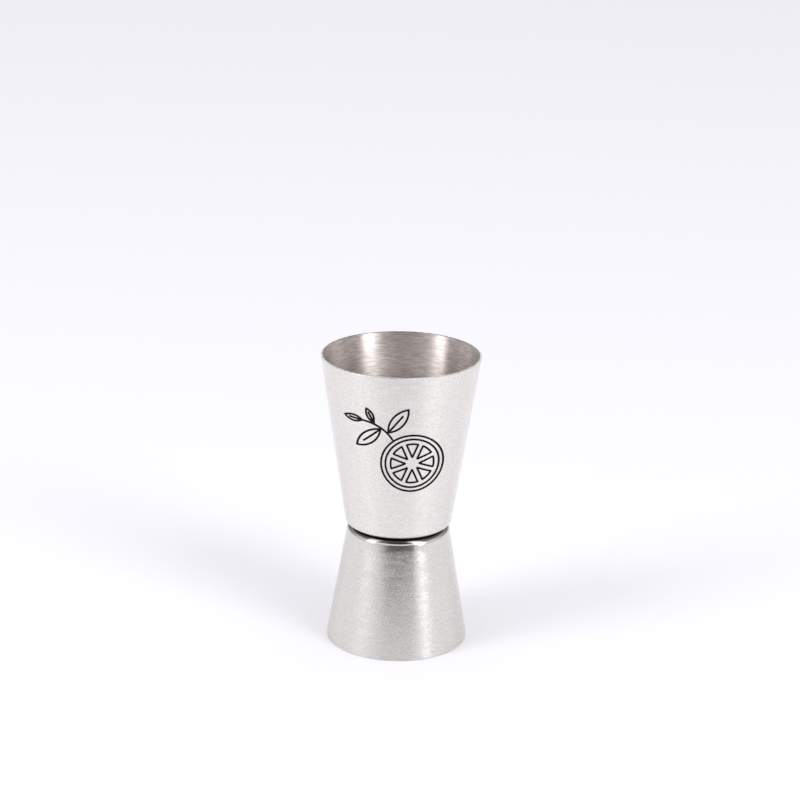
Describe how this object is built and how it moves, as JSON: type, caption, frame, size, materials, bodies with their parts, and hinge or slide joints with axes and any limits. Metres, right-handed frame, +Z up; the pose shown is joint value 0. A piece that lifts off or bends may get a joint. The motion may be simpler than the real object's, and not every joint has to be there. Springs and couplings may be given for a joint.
{
  "type": "bar jigger",
  "caption": "Double-ended bar jigger: a large and a small tapered steel cup welded base to base, with a line drawing printed on the large one.",
  "frame": {"origin": "centre of the small cup's mouth, which is the foot that the jigger stands on", "axes": "+Z up along the cups' common axis, towards the large cup's mouth; the printed drawing faces -Y"},
  "size_m": [0.0446, 0.0446, 0.084],
  "materials": {
    "cup_steel": "satin",
    "weld_steel": "matt",
    "ink": "matt"
  },
  "bodies": {
    "root": {"large_cup": "cup_steel", "small_cup": "cup_steel", "weld_nuggets": "weld_steel", "front_print": "ink"}
  },
  "joints": []
}
